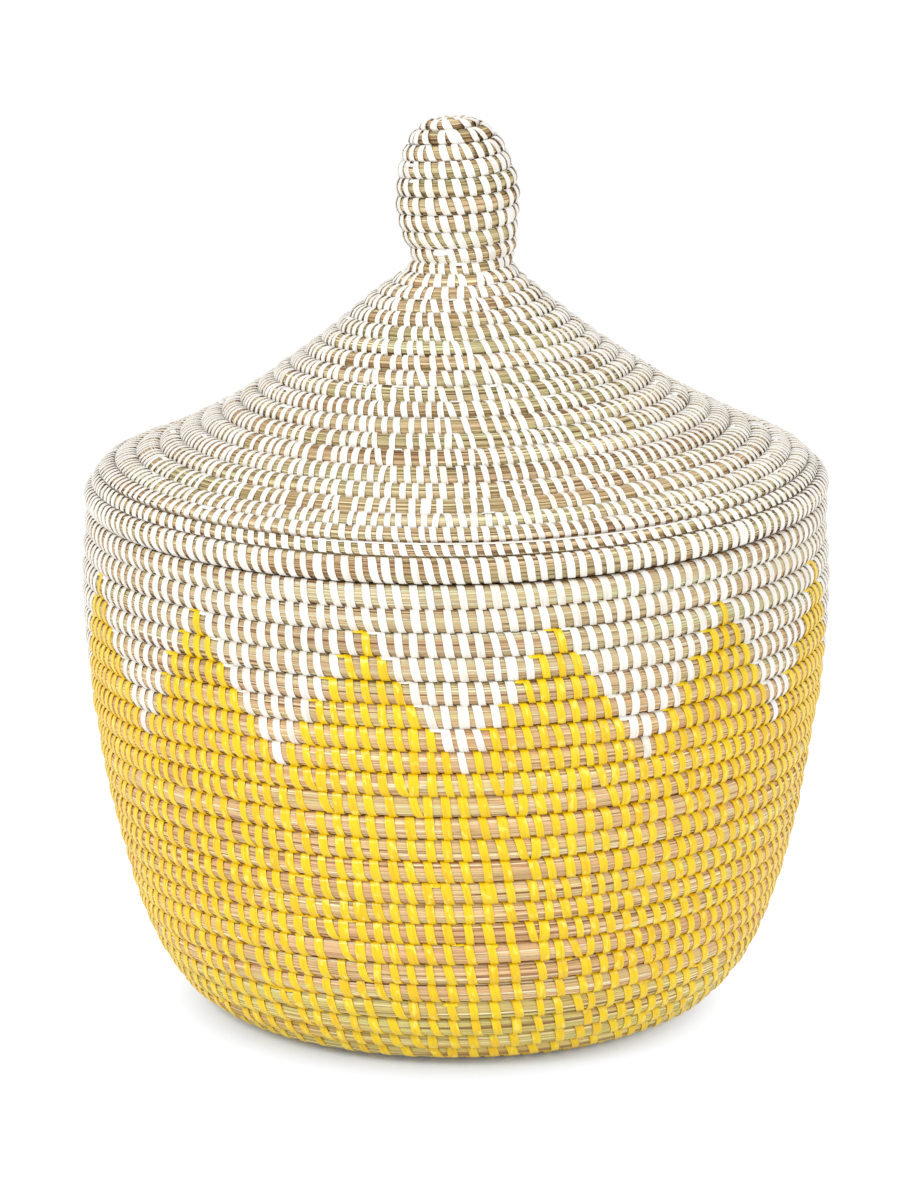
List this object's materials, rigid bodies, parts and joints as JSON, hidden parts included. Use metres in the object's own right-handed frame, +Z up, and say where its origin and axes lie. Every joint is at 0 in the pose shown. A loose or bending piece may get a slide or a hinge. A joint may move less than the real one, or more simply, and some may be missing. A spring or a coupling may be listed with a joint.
{
  "type": "lidded warming basket",
  "caption": "Round coiled grass basket with a cone-shaped lid that lifts off by a tall knob, lashed with plastic strip in a zigzag band.",
  "frame": {"origin": "on the floor, under the middle of the basket's base", "axes": "+Z up, along the line on which the lid lifts; -Y is the pictured front; the coil's ends and steps are at the back, +Y"},
  "size_m": [0.3566, 0.3566, 0.4276],
  "materials": {
    "dried_grass": "matte",
    "yellow_strip": "gloss",
    "white_strip": "gloss"
  },
  "bodies": {
    "basket": {"coiled_base": "dried_grass", "foot_coil": "yellow_strip", "yellow_wall_coil": "yellow_strip", "zigzag_band_coil": "yellow_strip", "mouth_rim_coil": "white_strip"},
    "lid": {"lid_rim_coil": "white_strip", "lid_slope_coil": "white_strip", "lid_neck_coil": "white_strip", "knob_coil": "white_strip", "knob_crown_coil": "white_strip", "locating_ring": "dried_grass"}
  },
  "joints": [
    {"name": "lid_lift", "type": "slide", "parent": "basket", "child": "lid", "axis": [0, 0, 1], "range_m": [0, 0.2]}
  ]
}
